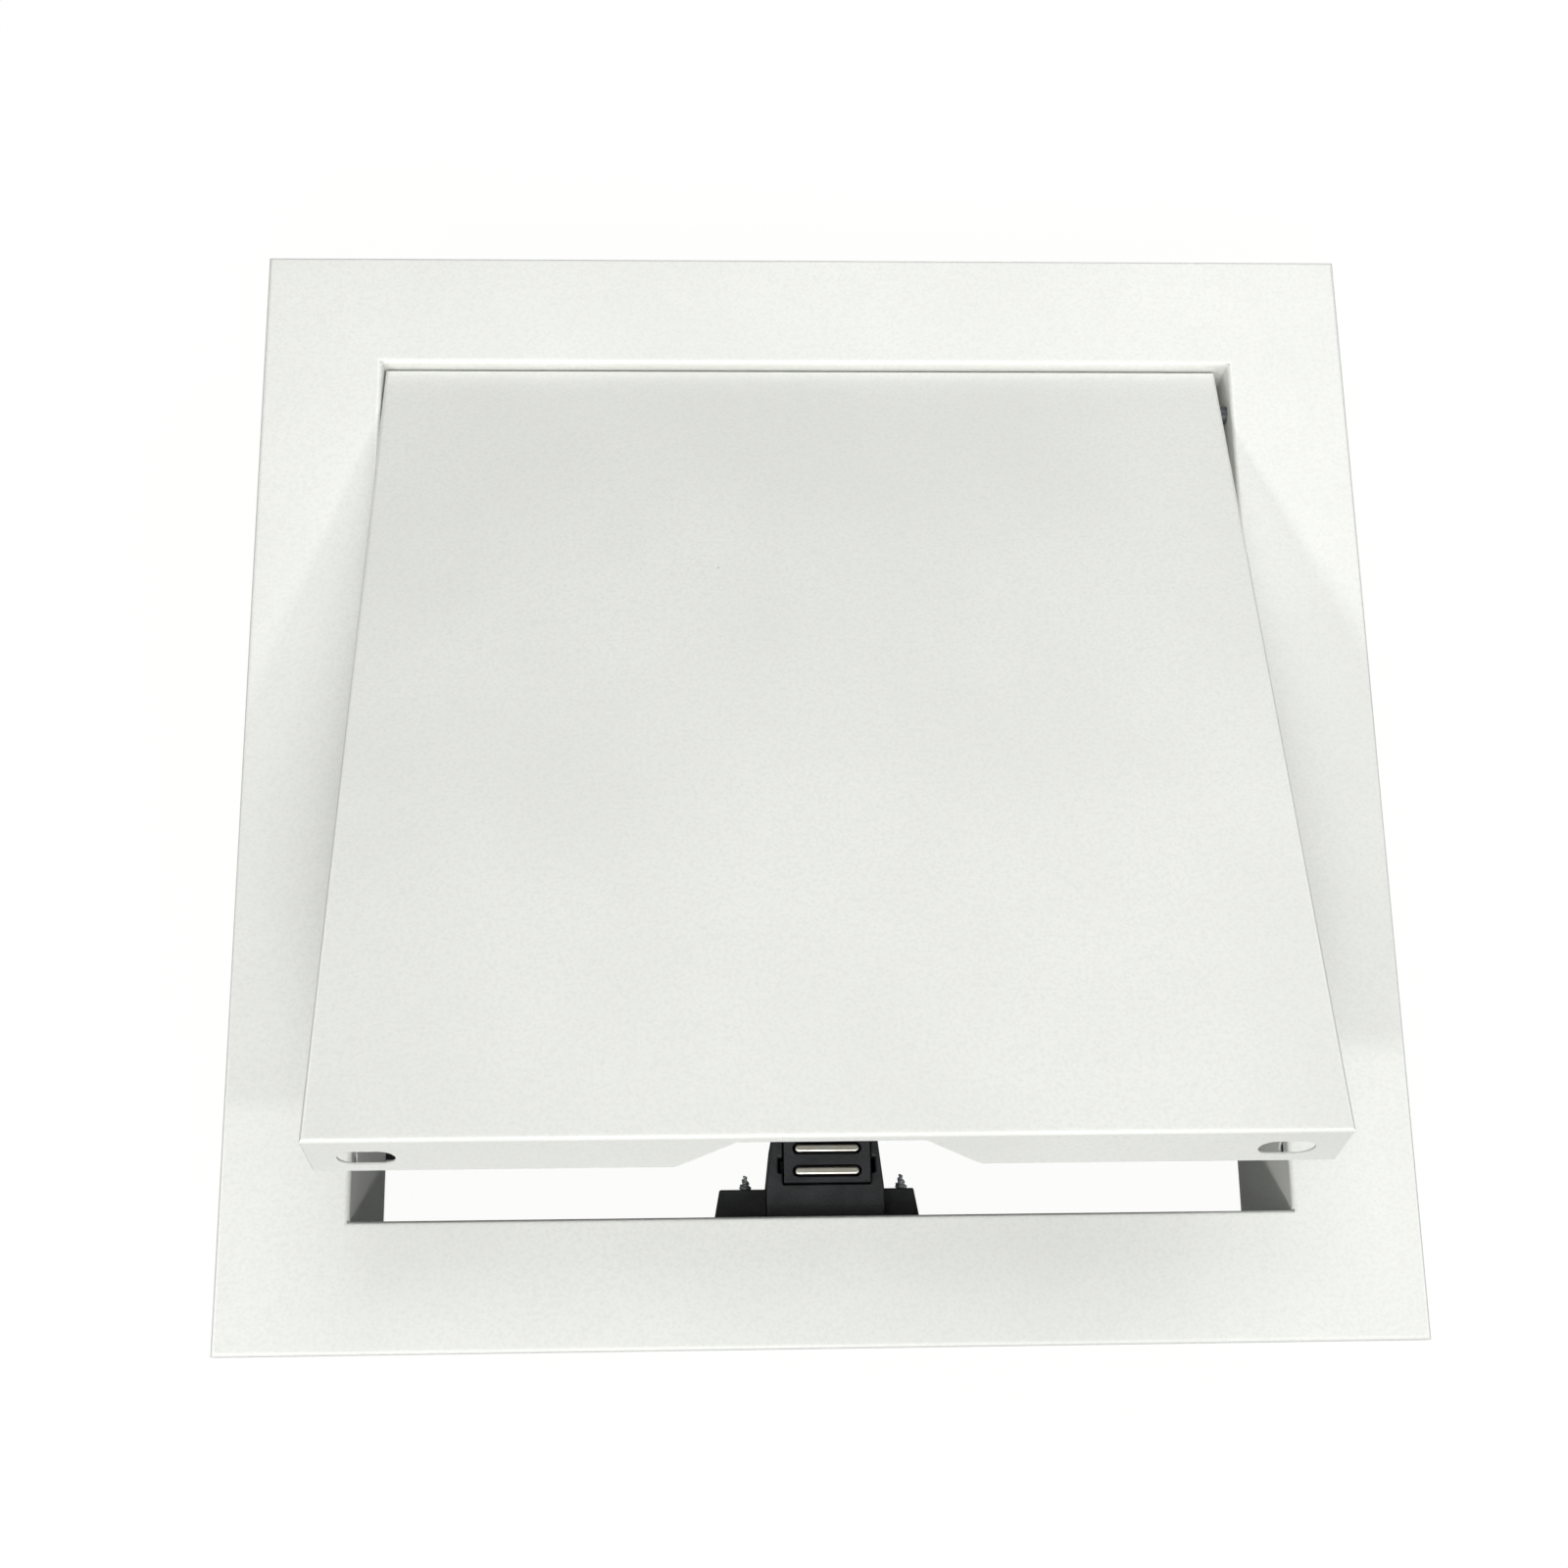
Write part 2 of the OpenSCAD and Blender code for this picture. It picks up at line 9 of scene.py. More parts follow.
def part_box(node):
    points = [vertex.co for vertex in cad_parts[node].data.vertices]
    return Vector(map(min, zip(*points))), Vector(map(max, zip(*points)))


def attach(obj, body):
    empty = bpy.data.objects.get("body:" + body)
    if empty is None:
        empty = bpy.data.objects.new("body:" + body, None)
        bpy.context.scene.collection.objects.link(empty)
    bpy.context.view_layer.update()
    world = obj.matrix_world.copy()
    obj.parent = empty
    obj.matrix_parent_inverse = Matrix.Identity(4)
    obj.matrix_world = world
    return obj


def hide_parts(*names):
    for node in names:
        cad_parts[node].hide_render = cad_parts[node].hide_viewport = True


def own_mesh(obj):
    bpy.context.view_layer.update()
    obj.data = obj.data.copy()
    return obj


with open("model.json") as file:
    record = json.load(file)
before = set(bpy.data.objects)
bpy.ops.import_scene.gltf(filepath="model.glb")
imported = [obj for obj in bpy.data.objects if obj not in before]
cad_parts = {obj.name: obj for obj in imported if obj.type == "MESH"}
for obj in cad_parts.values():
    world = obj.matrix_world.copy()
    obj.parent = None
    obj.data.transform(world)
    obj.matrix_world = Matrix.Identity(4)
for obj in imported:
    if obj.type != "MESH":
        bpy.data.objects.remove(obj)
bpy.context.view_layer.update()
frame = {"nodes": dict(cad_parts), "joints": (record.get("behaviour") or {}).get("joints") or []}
nodes = frame["nodes"]
mm = 0.001
mergeWithin = 0.001 * mm  # points nearer to each other than this become one

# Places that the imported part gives
hinge = next(j for j in frame["joints"] if j["name"] == "door_hinge")
hingePoint = Vector(hinge["pos_m"])
ajar = math.radians(-hinge["range_deg"][0])  # the door's turn from closed to where it rests
wallFace = -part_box("frame_rail_near")[1].y  # inner face of the four frame walls
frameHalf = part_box("frame_rail_far")[1].y
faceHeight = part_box("frame_rail_far")[1].z
doorMiddle = sum(corner.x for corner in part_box("door_panel")) / 2
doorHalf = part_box("door_panel")[1].x - doorMiddle
latchMiddle = sum(corner.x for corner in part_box("latch_screws")) / 2
screwHeight = sum(corner.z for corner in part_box("latch_screws")) / 2
print("frame loaded:", len(nodes), "nodes")


# Small helpers

def hexColour(text):  # sRGB hex to the linear colour that a shader socket takes
    parts = [int(text[i:i + 2], 16) / 255 for i in (1, 3, 5)]
    return [c / 12.92 if c <= 0.04045 else ((c + 0.055) / 1.055) ** 2.4 for c in parts] + [1.0]


def connect(tree, node, inputs):  # a node, by its first output, or a socket is linked, and the rest is set
    for key, value in inputs.items():
        if isinstance(value, bpy.types.Node):
            value = value.outputs[0]
        if isinstance(value, bpy.types.NodeSocket):
            tree.links.new(value, node.inputs[key])
        elif isinstance(value, str) and value.startswith("#"):
            node.inputs[key].default_value = hexColour(value)
        else:
            node.inputs[key].default_value = value


def addNode(tree, kind, settings=None, inputs=None):
    node = tree.nodes.new(kind)
    for key, value in (settings or {}).items():
        setattr(node, key, value)
    connect(tree, node, inputs or {})
    return node


def perSize(size):  # texture scale for a feature of this size, in millimetres
    return 1 / (size * mm)


def newMaterial(name, colour, roughness, metallic=0.0):
    material = bpy.data.materials.new(name)
    material.use_nodes = True
    tree = material.node_tree
    shader = next(n for n in tree.nodes if n.type == "BSDF_PRINCIPLED")
    connect(tree, shader, {"Base Color": colour, "Roughness": roughness, "Metallic": metallic})
    place = addNode(tree, "ShaderNodeTexCoord").outputs["Object"]
    return material, tree, shader, place


def finishSurface(tree, shader, first, second, share, height, depth):  # two colours and a relief in millimetres
    mixed = addNode(tree, "ShaderNodeMix", {"data_type": "RGBA"}, {0: share, 6: first, 7: second})
    bump = addNode(tree, "ShaderNodeBump", inputs={"Height": height, "Strength": 1.0, "Distance": depth * mm})
    connect(tree, shader, {"Base Color": mixed.outputs[2], "Normal": bump})


# Materials, with the sizes of their patterns in millimetres

powderLook = {  # real grit is finer, and is drawn as coarse as it needs to show
    "white": "#EBECE7", "thin": "#E6E7E2", "pit": "#DADBD6", "speck": "#A9A9A3",
    "peel": 1.7, "peelDepth": 0.016, "grit": 0.75, "gritDepth": 0.006, "cloud": 55.0,
    "speckEvery": 42.0, "speckSize": 0.28, "speckFrom": 0.45, "roughness": (0.38, 0.47),
}


# Polyester powder coat, sprayed and baked: satin white with a fine orange peel, a faint cloudiness where
# the film is thinner, and a few dust specks caught in it
def makePowderCoat():
    look = powderLook
    material, tree, shader, place = newMaterial("powder_coat_satin_white", look["white"], 0.42)
    cloud = addNode(tree, "ShaderNodeTexNoise", inputs={
        "Vector": place, "Scale": perSize(look["cloud"]), "Detail": 3.0})
    peel = addNode(tree, "ShaderNodeTexNoise", inputs={
        "Vector": place, "Scale": perSize(look["peel"]), "Detail": 2.0})
    grit = addNode(tree, "ShaderNodeTexNoise", inputs={
        "Vector": place, "Scale": perSize(look["grit"]), "Detail": 2.0})
    speck = addNode(tree, "ShaderNodeTexVoronoi", {"feature": "F1"}, {
        "Vector": place, "Scale": perSize(look["speckEvery"]), "Randomness": 1.0})
    reach = look["speckSize"] / look["speckEvery"]
    dot = addNode(tree, "ShaderNodeMapRange", inputs={
        "Value": speck, "From Min": 0.6 * reach, "From Max": reach, "To Min": 1.0, "To Max": 0.0})
    rare = addNode(tree, "ShaderNodeMath", {"operation": "GREATER_THAN"}, {
        0: speck.outputs["Color"], 1: look["speckFrom"]})
    shown = addNode(tree, "ShaderNodeMath", {"operation": "MULTIPLY"}, {0: dot, 1: rare})
    thin = addNode(tree, "ShaderNodeMapRange", inputs={"Value": cloud, "From Min": 0.35, "From Max": 0.65})
    pit = addNode(tree, "ShaderNodeMapRange", inputs={
        "Value": grit, "From Min": 0.4, "From Max": 0.75, "To Min": 0.0, "To Max": 0.5})
    film = addNode(tree, "ShaderNodeMix", {"data_type": "RGBA"}, {0: thin, 6: look["white"], 7: look["thin"]})
    grainy = addNode(tree, "ShaderNodeMix", {"data_type": "RGBA"}, {0: pit, 6: film.outputs[2], 7: look["pit"]})
    dusty = addNode(tree, "ShaderNodeMix", {"data_type": "RGBA"}, {
        0: shown, 6: grainy.outputs[2], 7: look["speck"]})
    smooth, rough = look["roughness"]
    gloss = addNode(tree, "ShaderNodeMapRange", inputs={
        "Value": peel, "From Min": 0.3, "From Max": 0.7, "To Min": smooth, "To Max": rough})
    fine = addNode(tree, "ShaderNodeBump", inputs={"Height": grit, "Distance": look["gritDepth"] * mm})
    bump = addNode(tree, "ShaderNodeBump", inputs={
        "Height": peel, "Distance": look["peelDepth"] * mm, "Normal": fine})
    connect(tree, shader, {"Base Color": dusty.outputs[2], "Roughness": gloss, "Normal": bump})
    return material


plasticLook = {  # the tool's grain is finer, and is drawn as coarse as it needs to show
    "black": "#1A1B1D", "scuff": "#27282A", "grain": 0.4, "depth": 0.05, "cloud": 6.0,
    "roughness": (0.42, 0.58),
}


# Glass-filled nylon, moulded in a spark-eroded tool: near-black satin with an even fine grain and dull scuffs
def makeLatchPlastic():
    look = plasticLook
    material, tree, shader, place = newMaterial("nylon_moulded_black", look["black"], 0.5)
    cloud = addNode(tree, "ShaderNodeTexNoise", inputs={
        "Vector": place, "Scale": perSize(look["cloud"]), "Detail": 4.0})
    grain = addNode(tree, "ShaderNodeTexVoronoi", {"feature": "SMOOTH_F1"}, {
        "Vector": place, "Scale": perSize(look["grain"])})
    worn = addNode(tree, "ShaderNodeMapRange", inputs={"Value": cloud, "From Min": 0.45, "From Max": 0.75})
    smooth, rough = look["roughness"]
    gloss = addNode(tree, "ShaderNodeMapRange", inputs={
        "Value": cloud, "From Min": 0.3, "From Max": 0.7, "To Min": smooth, "To Max": rough})
    connect(tree, shader, {"Roughness": gloss})
    finishSurface(tree, shader, look["black"], look["scuff"], worn, grain, look["depth"])
    return material


# A drawn, rolled or plated metal: streaks run along one axis, over a faint mottle
def makeMetal(name, look):
    smooth, rough = look["roughness"]
    material, tree, shader, place = newMaterial(name, look["bright"], smooth, look["metallic"])
    stretch = [look["streakLength"] if axis == look["along"] else look["streak"] for axis in range(3)]
    turned = addNode(tree, "ShaderNodeMapping", inputs={
        "Vector": place, "Scale": [perSize(size) for size in stretch]})
    streak = addNode(tree, "ShaderNodeTexNoise", inputs={"Vector": turned, "Scale": 1.0, "Detail": 3.0})
    mottle = addNode(tree, "ShaderNodeTexNoise", inputs={
        "Vector": place, "Scale": perSize(look["mottle"]), "Detail": 3.0})
    shade = addNode(tree, "ShaderNodeMapRange", inputs={"Value": mottle, "From Min": 0.3, "From Max": 0.7})
    gloss = addNode(tree, "ShaderNodeMapRange", inputs={
        "Value": streak, "From Min": 0.3, "From Max": 0.7, "To Min": smooth, "To Max": rough})
    connect(tree, shader, {"Roughness": gloss})
    finishSurface(tree, shader, look["bright"], look["dull"], shade, streak, look["depth"])
    return material


# Bright zinc plating on steel: a cool grey shine, broken up by fine rolling marks
zincLook = {
    "bright": "#EEF1F3", "dull": "#D6DADD", "metallic": 0.85, "along": 0, "streak": 0.12, "streakLength": 2.5,
    "mottle": 1.8, "depth": 0.003, "roughness": (0.32, 0.48),
}
# Black oxide on the hinge pins: a thin oiled film over turned steel, dark grey where light grazes it
oxideLook = {
    "bright": "#626468", "dull": "#505256", "metallic": 0.4, "along": 0, "streak": 0.15, "streakLength": 0.8,
    "mottle": 1.0, "depth": 0.002, "roughness": (0.4, 0.54),
}
# Bright nickel plating on the pole plates: a warm grey with grinding marks along the plate
nickelLook = {
    "bright": "#DFDBCF", "dull": "#D1CBBC", "metallic": 1.0, "along": 0, "streak": 0.16, "streakLength": 9.0,
    "mottle": 4.0, "depth": 0.0006, "roughness": (0.34, 0.44),
}
# Drawn spring wire: darker grey with drawing lines along it
wireLook = {
    "bright": "#8E8F90", "dull": "#6D6D6C", "metallic": 1.0, "along": 2, "streak": 0.08, "streakLength": 3.0,
    "mottle": 0.9, "depth": 0.002, "roughness": (0.28, 0.42),
}

washerLook = {"natural": "#E7E2D3", "shade": "#DAD3C0", "cloud": 1.6, "grain": 0.2, "depth": 0.004}


# Natural nylon, moulded: a milky off-white with a waxy shine
def makeNaturalNylon():
    look = washerLook
    material, tree, shader, place = newMaterial("nylon_natural", look["natural"], 0.4)
    cloud = addNode(tree, "ShaderNodeTexNoise", inputs={
        "Vector": place, "Scale": perSize(look["cloud"]), "Detail": 3.0})
    grain = addNode(tree, "ShaderNodeTexNoise", inputs={"Vector": place, "Scale": perSize(look["grain"])})
    finishSurface(tree, shader, look["natural"], look["shade"], cloud, grain, look["depth"])
    return material


magnetLook = {"grey": "#38383B", "dark": "#29292B", "grain": 0.25, "depth": 0.02}


# Sintered ferrite: matt charcoal with a sandy grain
def makeFerrite():
    look = magnetLook
    material, tree, shader, place = newMaterial("ferrite_sintered", look["grey"], 0.75)
    grain = addNode(tree, "ShaderNodeTexNoise", inputs={
        "Vector": place, "Scale": perSize(look["grain"]), "Detail": 4.0})
    shade = addNode(tree, "ShaderNodeMapRange", inputs={"Value": grain, "From Min": 0.35, "From Max": 0.65})
    finishSurface(tree, shader, look["grey"], look["dark"], shade, grain, look["depth"])
    return material


powderCoat = makePowderCoat()
latchPlastic = makeLatchPlastic()
zincSteel = makeMetal("steel_zinc_plated", zincLook)
blackSteel = makeMetal("steel_black_oxide", oxideLook)
nickelSteel = makeMetal("steel_nickel_plated", nickelLook)
springWire = makeMetal("steel_spring_wire", wireLook)
naturalNylon = makeNaturalNylon()
ferrite = makeFerrite()
print("materials made:", len(bpy.data.materials))


# Mesh helpers

def newObject(name, mesh):
    piece = bpy.data.objects.new(name, mesh)
    bpy.context.scene.collection.objects.link(piece)
    return piece


def meshOf(name, bm):
    mesh = bpy.data.meshes.new(name)
    bm.to_mesh(mesh)
    bm.free()
    return mesh


def bakePiece(piece, material):  # turns the evaluated piece into a plain mesh and drops its modifiers
    bpy.context.view_layer.update()
    evaluated = piece.evaluated_get(bpy.context.evaluated_depsgraph_get())
    mesh = bpy.data.meshes.new_from_object(evaluated)
    piece.modifiers.clear()
    piece.data = mesh
    piece.data.name = piece.name
    mesh.materials.clear()
    mesh.materials.append(material)
    for polygon in mesh.polygons:
        polygon.material_index = 0
    return piece


def roundEdges(piece, width, steps, byWeight=False, angle=40.0):
    bevel = piece.modifiers.new("edges", "BEVEL")
    bevel.width = width
    bevel.segments = steps
    bevel.limit_method = "WEIGHT" if byWeight else "ANGLE"
    bevel.angle_limit = math.radians(angle)
    bevel.use_clamp_overlap = True
    bevel.miter_outer = "MITER_ARC"


def evenNormals(piece):  # large flats keep their own normal, so the bends beside them shade cleanly
    weighted = piece.modifiers.new("normals", "WEIGHTED_NORMAL")
    weighted.mode = "FACE_AREA"
    weighted.weight = 80
    weighted.keep_sharp = True


def smoothFaces(mesh, angle):
    mesh.polygons.foreach_set("use_smooth", [True] * len(mesh.polygons))
    mesh.set_sharp_from_angle(angle=math.radians(angle))


def standFor(piece, slot, body, *cadNodes):
    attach(piece, body)
    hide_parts(*cadNodes)


def arc(across, up, radius, start, end, steps):  # points of an arc in a section, angles in degrees
    angles = [math.radians(start + (end - start) * i / steps) for i in range(steps + 1)]
    return [(across + radius * math.cos(a), up + radius * math.sin(a)) for a in angles]


def circle(radius, steps=32):
    return arc(0, 0, radius, 0, 360 * (steps - 1) / steps, steps - 1)


def addPrism(bm, outline, depth, place):  # a cutter: the outline, drawn through by depth along its own z
    low = [bm.verts.new(place @ Vector((x, y, 0))) for x, y in outline]
    high = [bm.verts.new(place @ Vector((x, y, depth))) for x, y in outline]
    bm.faces.new(low[::-1])
    bm.faces.new(high)
    for i in range(len(outline)):
        j = (i + 1) % len(outline)
        bm.faces.new((low[i], low[j], high[j], high[i]))


# Folded sheet: a section that runs round a square with mitred corners, and the holes cut in it

sheet = {
    "thickness": 0.5 * mm, "insideBend": 0.6 * mm, "bendSteps": 10,
    "edgeRound": 0.16 * mm, "edgeSteps": 3,  # the cut edge under its paint
    "cutRound": 0.1 * mm, "cutSteps": 2,
}
outsideBend = sheet["thickness"] + sheet["insideBend"]


def makeSweepTree():
    tree = bpy.data.node_groups.new("sheet_round_square", "GeometryNodeTree")
    face = tree.interface
    face.new_socket("Section", in_out="INPUT", socket_type="NodeSocketGeometry")
    face.new_socket("Square Width", in_out="INPUT", socket_type="NodeSocketFloat")
    face.new_socket("Holes", in_out="INPUT", socket_type="NodeSocketObject")
    face.new_socket("Round Below", in_out="INPUT", socket_type="NodeSocketFloat")
    face.new_socket("Material", in_out="INPUT", socket_type="NodeSocketMaterial")
    face.new_socket("Sheet", in_out="OUTPUT", socket_type="NodeSocketGeometry")
    given = addNode(tree, "NodeGroupInput").outputs
    section = addNode(tree, "GeometryNodeMeshToCurve", inputs={"Mesh": given["Section"]})
    mitred = addNode(tree, "GeometryNodeTransform", inputs={  # a mitre is longer across by the root of two
        "Geometry": section, "Scale": (math.sqrt(2), -1, 1)})
    path = addNode(tree, "GeometryNodeCurvePrimitiveQuadrilateral", inputs={
        "Width": given["Square Width"], "Height": given["Square Width"]})
    swept = addNode(tree, "GeometryNodeCurveToMesh", inputs={"Curve": path, "Profile Curve": mitred})
    outward = addNode(tree, "GeometryNodeFlipFaces", inputs={"Mesh": swept})
    closed = addNode(tree, "GeometryNodeMergeByDistance", inputs={
        "Geometry": outward, "Distance": mergeWithin})
    holes = addNode(tree, "GeometryNodeObjectInfo", inputs={"Object": given["Holes"]})
    cutSheet = addNode(tree, "GeometryNodeMeshBoolean", {"operation": "DIFFERENCE", "solver": "EXACT"}, {
        "Mesh 1": closed, "Mesh 2": holes.outputs["Geometry"]})
    place = addNode(tree, "GeometryNodeInputPosition")
    height = addNode(tree, "ShaderNodeSeparateXYZ", inputs={"Vector": place}).outputs["Z"]
    below = addNode(tree, "ShaderNodeMath", {"operation": "LESS_THAN"}, {0: height, 1: given["Round Below"]})
    marked = addNode(tree, "GeometryNodeStoreNamedAttribute", {"data_type": "FLOAT", "domain": "EDGE"}, {
        "Geometry": cutSheet, "Selection": cutSheet.outputs["Intersecting Edges"],
        "Name": "bevel_weight_edge", "Value": below})
    real = addNode(tree, "GeometryNodeRealizeInstances", inputs={"Geometry": marked})
    painted = addNode(tree, "GeometryNodeSetMaterial", inputs={"Geometry": real, "Material": given["Material"]})
    addNode(tree, "NodeGroupOutput", inputs={"Sheet": painted})
    return tree


sweepTree = makeSweepTree()


def useTree(piece, tree, values):  # values by the input's name, set on the modifier by its identifier
    modifier = piece.modifiers.new(tree.name, "NODES")
    modifier.node_group = tree
    for item in tree.interface.items_tree:
        if item.in_out == "INPUT" and item.name in values:
            modifier[item.identifier] = values[item.name]


def sweepSheet(name, points, closed, width, cutters, roundBelow):  # cuts above roundBelow keep sharp edges
    bm = bmesh.new()
    corners = [bm.verts.new((across, up, 0)) for across, up in points]
    following = corners[1:] + corners[:1] if closed else corners[1:]
    for pair in zip(corners, following):
        bm.edges.new(pair)
    piece = newObject(name, meshOf(name, bm))
    holes = newObject(name + "_holes", meshOf(name + "_holes", cutters))
    useTree(piece, sweepTree, {
        "Square Width": width, "Holes": holes, "Round Below": roundBelow, "Material": powderCoat})
    roundEdges(piece, sheet["cutRound"], sheet["cutSteps"], byWeight=True)
    bakePiece(piece, powderCoat)
    bpy.data.objects.remove(holes)
    return piece


# Welded frame: wall, face and return lip

weldedFrame = {
    "lip": 5.0 * mm, "relief": 0.9 * mm,
    "fixHole": 4.5 * mm, "fixPitch": 120.0 * mm, "fixRise": 12.0 * mm,
    "spareHole": 3.2 * mm, "spareInset": 13.7 * mm, "spareDrop": 5.3 * mm,
    "pinHole": 4.1 * mm, "screwHole": 3.0 * mm, "screwPitch": 34.3 * mm, "smooth": 35,
}
overcut = 2.0 * mm  # how far a cutter stands out of the sheet


def wallPlace(turn, along, height):  # on a wall, with z pointing out through it; turn 0 is the far wall
    return (Matrix.Rotation(turn, 4, "Z") @ Matrix.Translation((along, wallFace - overcut, height))
            @ Matrix.Rotation(-math.pi / 2, 4, "X"))


def frameSection():
    thick, bend, fold = sheet["thickness"], sheet["insideBend"], outsideBend
    edge, edgeSteps, bendSteps = sheet["edgeRound"], sheet["edgeSteps"], sheet["bendSteps"]
    width, top = frameHalf - wallFace, faceHeight
    low = top - weldedFrame["lip"]
    points = arc(edge, edge, edge, 180, 270, edgeSteps)
    points += arc(thick - edge, edge, edge, 270, 360, edgeSteps)
    points += arc(fold, top - fold, bend, 180, 90, bendSteps)
    points += arc(width - fold, top - fold, bend, 90, 0, bendSteps)
    points += arc(width - thick + edge, low + edge, edge, 180, 270, edgeSteps)
    points += arc(width - edge, low + edge, edge, 270, 360, edgeSteps)
    points += arc(width - fold, top - fold, fold, 0, 90, bendSteps)
    points += arc(fold, top - fold, fold, 90, 180, bendSteps)
    return points


def frameHoles():
    size, bm = weldedFrame, bmesh.new()
    through = sheet["thickness"] + 2 * overcut
    for quarter in range(4):
        turn = quarter * math.pi / 2
        for side in (-1, 1):
            fixing = wallPlace(turn, side * size["fixPitch"] / 2, size["fixRise"])
            addPrism(bm, circle(size["fixHole"] / 2), through, fixing)
            if quarter == 2:
                along = side * size["screwPitch"] / 2 - latchMiddle
                addPrism(bm, circle(size["screwHole"] / 2), through, wallPlace(turn, along, screwHeight))
        inCorner = Matrix.Translation((wallFace, wallFace, faceHeight - outsideBend))
        corner = Matrix.Rotation(turn, 4, "Z") @ inCorner
        addPrism(bm, circle(size["relief"] / 2, 20), outsideBend + overcut, corner)
    for turn, farEnd in ((math.pi / 2, 1), (-math.pi / 2, -1)):  # left and right wall
        addPrism(bm, circle(size["pinHole"] / 2), through, wallPlace(turn, farEnd * hingePoint.y, hingePoint.z))
        nearEnd = -farEnd * (wallFace - size["spareInset"])
        spare = wallPlace(turn, nearEnd, faceHeight - size["spareDrop"])
        addPrism(bm, circle(size["spareHole"] / 2), through, spare)
    return bm


wallTop = faceHeight - 2 * outsideBend
weldedPiece = sweepSheet("frame_welded", frameSection(), True, 2 * wallFace, frameHoles(), wallTop)
smoothFaces(weldedPiece.data, weldedFrame["smooth"])
evenNormals(weldedPiece)
bakePiece(weldedPiece, powderCoat)
rails = ["frame_rail_" + side for side in ("near", "far", "left", "right")]
standFor(weldedPiece, "powder_coat", "frame", *rails)
print("welded frame:", len(weldedPiece.data.polygons), "faces")


# Door: a folded tray with a cut-out for the latch and two slots

doorTray = {
    "flange": 14.3 * mm, "slit": 0.4 * mm, "pinHole": 4.1 * mm,
    "notchWidth": 35.5 * mm, "notchDrop": 2.6 * mm, "notchRound": 2.5 * mm, "roundSteps": 6,
    "slotLength": 11.0 * mm, "slotWidth": 6.1 * mm, "slotInset": 11.2 * mm, "slotDrop": 8.2 * mm,
    "slotSteps": 12, "smooth": 35,
}


def doorSection():
    thick, bend, fold = sheet["thickness"], sheet["insideBend"], outsideBend
    edge, edgeSteps, bendSteps = sheet["edgeRound"], sheet["edgeSteps"], sheet["bendSteps"]
    top, low = faceHeight, faceHeight - doorTray["flange"]
    points = [(-doorHalf, top)]
    points += arc(-fold, top - fold, fold, 90, 0, bendSteps)
    points += arc(-edge, low + edge, edge, 0, -90, edgeSteps)
    points += arc(-thick + edge, low + edge, edge, 270, 180, edgeSteps)
    points += arc(-fold, top - fold, bend, 0, 90, bendSteps)
    points += [(-doorHalf, top - thick)]
    return points[::-1]


def notchOutline():  # below the door face, with the lower corners rounded into the flange edge
    size = doorTray
    topX, low = size["notchWidth"] / 2, size["flange"]
    lowX = topX + low - size["notchDrop"]
    reach = size["notchRound"] * math.tan(math.pi / 8)
    right = arc(lowX + reach, -low + size["notchRound"], size["notchRound"], 225, 270, size["roundSteps"])
    right += [(lowX + reach, -low - overcut)]
    left = [(-x, y) for x, y in right[::-1]]
    return left + [(-topX, -size["notchDrop"]), (topX, -size["notchDrop"])] + right


def doorHoles():
    size, bm = doorTray, bmesh.new()
    through = sheet["thickness"] + 2 * overcut
    nearFace = (Matrix.Translation((0, -doorHalf + sheet["thickness"] + overcut, faceHeight))
                @ Matrix.Rotation(math.pi / 2, 4, "X"))
    addPrism(bm, notchOutline()[::-1], through, nearFace)
    slotHalf, slotEnd = (size["slotLength"] - size["slotWidth"]) / 2, size["slotWidth"] / 2
    slot = arc(slotHalf, 0, slotEnd, -90, 90, size["slotSteps"])
    slot += arc(-slotHalf, 0, slotEnd, 90, 270, size["slotSteps"])
    for side in (-1, 1):
        along = side * (doorHalf - size["slotInset"])
        addPrism(bm, slot, through, nearFace @ Matrix.Translation((along, -size["slotDrop"], 0)))
        beside = Matrix.Translation((side * (doorHalf + overcut), hingePoint.y, hingePoint.z))
        pin = beside @ Matrix.Rotation(-side * math.pi / 2, 4, "Y")
        addPrism(bm, circle(size["pinHole"] / 2), through, pin)
    half, reach = size["slit"] / 2, doorHalf * math.sqrt(2)
    inner, outer = reach - 2 * outsideBend, reach + outsideBend
    slit = [(inner, -half), (outer, -half), (outer, half), (inner, half)]
    for quarter in range(4):
        turn = Matrix.Rotation(math.pi / 4 + quarter * math.pi / 2, 4, "Z")
        low = Matrix.Translation((0, 0, faceHeight - size["flange"] - overcut))
        addPrism(bm, slit, size["flange"] + overcut - outsideBend, turn @ low)
    return bm


doorPiece = sweepSheet("door_tray", doorSection(), False, 2 * doorHalf, doorHoles(), faceHeight)
restPlace = (Matrix.Translation(hingePoint) @ Matrix.Rotation(-ajar, 4, "X")
             @ Matrix.Translation(Vector((doorMiddle, 0, 0)) - hingePoint))
doorPiece.data.transform(restPlace)
smoothFaces(doorPiece.data, doorTray["smooth"])
evenNormals(doorPiece)
bakePiece(doorPiece, powderCoat)
standFor(doorPiece, "powder_coat", "door", "door_panel")
print("door tray:", len(doorPiece.data.polygons), "faces")


# Pieces whose CAD shape is right: a merged copy gets its moulded or tumbled edges

def mergedCopy(node):  # the CAD mesh is loose triangles
    bm = bmesh.new()
    bm.from_mesh(nodes[node].data)
    bmesh.ops.remove_doubles(bm, verts=bm.verts, dist=mergeWithin)
    return bm


